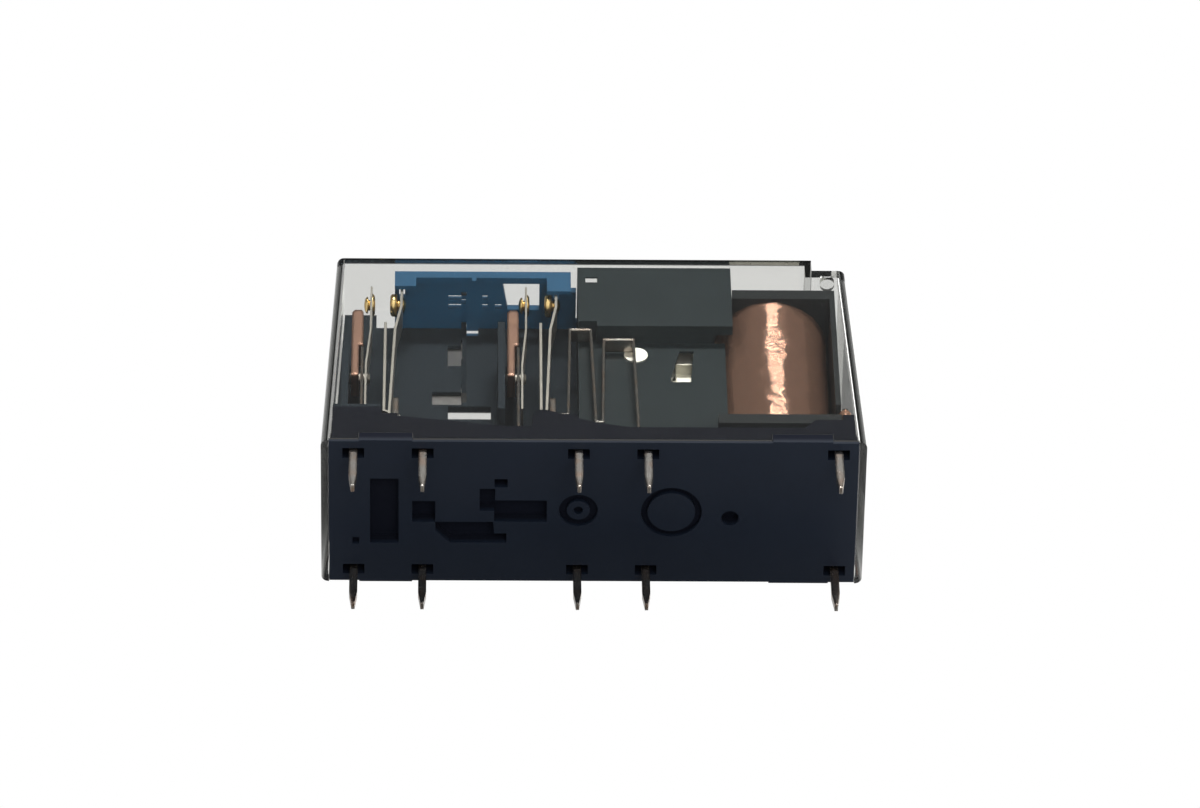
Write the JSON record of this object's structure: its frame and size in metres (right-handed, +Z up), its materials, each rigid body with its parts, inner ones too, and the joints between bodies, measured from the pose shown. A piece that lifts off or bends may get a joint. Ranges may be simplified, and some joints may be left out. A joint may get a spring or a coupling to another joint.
{
  "type": "relay",
  "caption": "Force-guided relay for a circuit board in a clear cover, with coil, rocking armature, sliding card, contact springs and two rows of pins.",
  "frame": {"origin": "on the plane of the pin tips, under the middle of the body; the seating plane lies 4.4 mm above it", "axes": "+Z up from the pins to the roof of the cover, +X from the contacts to the coil, -Y is the side seen in the picture"},
  "size_m": [0.04, 0.013, 0.0284],
  "materials": {
    "clear_cover": "clear, glossy, faintly grey",
    "base_moulding": "blue-black, satin with gloss on the flats",
    "housing_moulding": "dark grey, satin",
    "arm_moulding": "black, satin",
    "card_moulding": "blue, satin",
    "enamelled_wire": "red-brown enamel over copper, glossy",
    "copper_blade": "bare copper alloy, brushed",
    "spring_alloy": "plated spring strip, bright",
    "rivet_alloy": "plated, bright",
    "contact_alloy": "gold-plated, bright",
    "tinned_terminal": "tinned, with the copper alloy showing at worn edges",
    "soft_iron": "plated soft iron, satin",
    "bright_steel": "turned, bright"
  },
  "bodies": {
    "root": {"cover": "clear_cover", "base": "base_moulding", "armature_housing": "housing_moulding", "bobbin": "housing_moulding", "coil_winding": "enamelled_wire", "core": "soft_iron", "yoke": "soft_iron", "pole_plate": "soft_iron", "pivot_pin": "bright_steel", "coil_terminal_front": "tinned_terminal", "coil_terminal_rear": "tinned_terminal", "coil_lead_front": "enamelled_wire", "coil_lead_rear": "enamelled_wire", "fixed_terminal_front_1": "tinned_terminal", "fixed_terminal_front_2": "tinned_terminal", "fixed_terminal_rear_1": "tinned_terminal", "fixed_terminal_rear_2": "tinned_terminal", "backing_blade_front_1": "copper_blade", "backing_blade_front_2": "copper_blade", "backing_blade_rear_1": "copper_blade", "backing_blade_rear_2": "copper_blade", "contact_leaf_front_1": "spring_alloy", "contact_leaf_front_2": "spring_alloy", "contact_leaf_rear_1": "spring_alloy", "contact_leaf_rear_2": "spring_alloy", "leaf_rivet_front_1": "rivet_alloy", "leaf_rivet_front_2": "rivet_alloy", "leaf_rivet_rear_1": "rivet_alloy", "leaf_rivet_rear_2": "rivet_alloy", "fixed_contact_front_1": "contact_alloy", "fixed_contact_front_2": "contact_alloy", "fixed_contact_rear_1": "contact_alloy", "fixed_contact_rear_2": "contact_alloy", "moving_terminal_front_1": "tinned_terminal", "moving_terminal_front_2": "tinned_terminal", "moving_terminal_rear_1": "tinned_terminal", "moving_terminal_rear_2": "tinned_terminal"},
    "armature": {"armature": "soft_iron", "drive_arm": "arm_moulding"},
    "card": {"card": "card_moulding"},
    "spring_front_1": {"moving_spring_front_1": "spring_alloy", "moving_contact_front_1": "contact_alloy"},
    "spring_front_2": {"moving_spring_front_2": "spring_alloy", "moving_contact_front_2": "contact_alloy"},
    "spring_rear_1": {"moving_spring_rear_1": "spring_alloy", "moving_contact_rear_1": "contact_alloy"},
    "spring_rear_2": {"moving_spring_rear_2": "spring_alloy", "moving_contact_rear_2": "contact_alloy"}
  },
  "joints": [
    {"name": "armature_rock", "type": "hinge", "parent": "root", "child": "armature", "pos_m": [0.0033, 0, 0.01825], "axis": [0, -1, 0], "range_deg": [0, 8.37], "stiffness_Nm_per_rad": 0.002, "springref_deg": -5.73},
    {"name": "card_travel", "type": "slide", "parent": "root", "child": "card", "axis": [-1, 0, 0], "range_m": [0, 0.0012]},
    {"name": "swing_front_1", "type": "hinge", "parent": "root", "child": "spring_front_1", "pos_m": [-0.0151, -0.004, 0.0095], "axis": [0, -1, 0], "range_deg": [0, 4.05]},
    {"name": "swing_front_2", "type": "hinge", "parent": "root", "child": "spring_front_2", "pos_m": [-0.0035, -0.004, 0.0095], "axis": [0, -1, 0], "range_deg": [0, 4.05]},
    {"name": "swing_rear_1", "type": "hinge", "parent": "root", "child": "spring_rear_1", "pos_m": [-0.0167, 0.004, 0.0095], "axis": [0, -1, 0], "range_deg": [0, 4.05]},
    {"name": "swing_rear_2", "type": "hinge", "parent": "root", "child": "spring_rear_2", "pos_m": [-0.0051, 0.004, 0.0095], "axis": [0, -1, 0], "range_deg": [0, 4.05]}
  ],
  "couplings": [
    {"joint": "card_travel", "follows": "armature_rock", "m_per_rad": 0.0082207},
    {"joint": "swing_front_1", "follows": "armature_rock", "ratio": 0.48397},
    {"joint": "swing_front_2", "follows": "armature_rock", "ratio": 0.48397},
    {"joint": "swing_rear_1", "follows": "armature_rock", "ratio": 0.48397},
    {"joint": "swing_rear_2", "follows": "armature_rock", "ratio": 0.48397}
  ]
}
